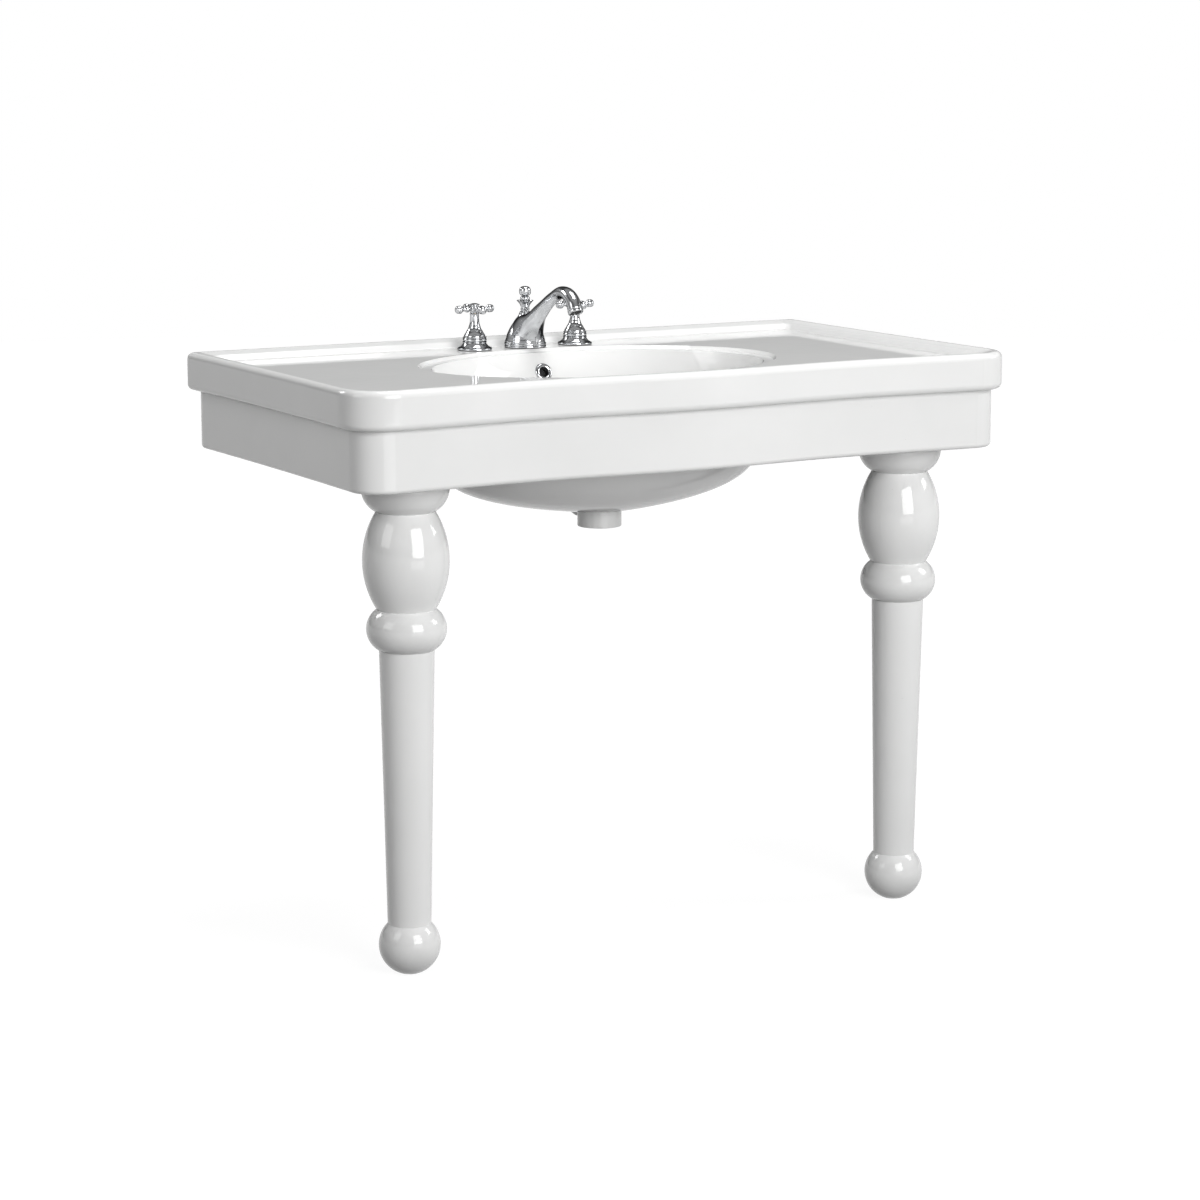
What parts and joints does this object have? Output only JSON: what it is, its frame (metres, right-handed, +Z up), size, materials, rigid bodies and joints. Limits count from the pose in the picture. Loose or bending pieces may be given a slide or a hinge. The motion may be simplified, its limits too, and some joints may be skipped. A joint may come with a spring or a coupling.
{
  "type": "console sink with legs",
  "caption": "Console sink: a rimmed china deck with a serpentine front and an oval bowl on turned legs, with a widespread cross-handle tap set and a lift-rod drain stopper.",
  "frame": {"origin": "on the floor, under the middle of the length and depth of the basin", "axes": "+X along the width, the cold side positive; +Y towards the wall; +Z up"},
  "size_m": [1.1122, 0.6256, 0.9577],
  "materials": {
    "china": "glossy white glaze",
    "chrome": "polished plating",
    "steel": "zinc-plated, plain",
    "brass": "as machined",
    "copper": "drawn copper tube",
    "rubber": "matte",
    "plastic": "moulded, matte"
  },
  "bodies": {
    "sink": {"basin": "china", "leg_left": "china", "leg_right": "china", "drain_flange": "chrome", "overflow_ring": "chrome", "spout": "chrome", "outlet_ring": "chrome", "rod_crown": "chrome", "valve_cover_left": "chrome", "valve_cover_right": "chrome", "leg_washers": "steel", "leg_bolts": "steel", "spout_washer": "steel", "valve_left_washer": "steel", "valve_right_washer": "steel", "leg_inserts": "brass", "spout_shank": "brass", "spout_locknut": "brass", "supply_tee": "brass", "tee_nuts": "brass", "tube_nuts": "brass", "valve_body_left": "brass", "valve_left_locknut": "brass", "valve_body_right": "brass", "valve_right_locknut": "brass", "supply_tube_left": "copper", "supply_tube_right": "copper", "leg_gaskets": "rubber", "drain_gasket": "rubber", "spout_gasket": "rubber", "valve_gasket_left": "rubber", "valve_gasket_right": "rubber", "outlet_insert": "plastic"},
    "lift": {"lift_knob": "chrome", "lift_rod": "chrome"},
    "stopper": {"stopper": "chrome", "stopper_seal": "rubber"},
    "hot_handle": {"stem_left": "brass", "handle_left": "chrome", "handle_cap_left": "chrome"},
    "cold_handle": {"stem_right": "brass", "handle_right": "chrome", "handle_cap_right": "chrome"}
  },
  "joints": [
    {"name": "hot_turn", "type": "hinge", "parent": "sink", "child": "hot_handle", "pos_m": [-0.09, 0.239, 0.9165], "axis": [0, 0, 1], "range_deg": [0, 90]},
    {"name": "cold_turn", "type": "hinge", "parent": "sink", "child": "cold_handle", "pos_m": [0.09, 0.239, 0.9165], "axis": [0, 0, 1], "range_deg": [-90, 0]},
    {"name": "lift_slide", "type": "slide", "parent": "sink", "child": "lift", "axis": [0, 0, 1], "range_m": [0, 0.02]},
    {"name": "stopper_slide", "type": "slide", "parent": "sink", "child": "stopper", "axis": [0, 0, -1], "range_m": [0, 0.008]}
  ],
  "couplings": [
    {"joint": "stopper_slide", "follows": "lift_slide", "ratio": 0.4}
  ]
}
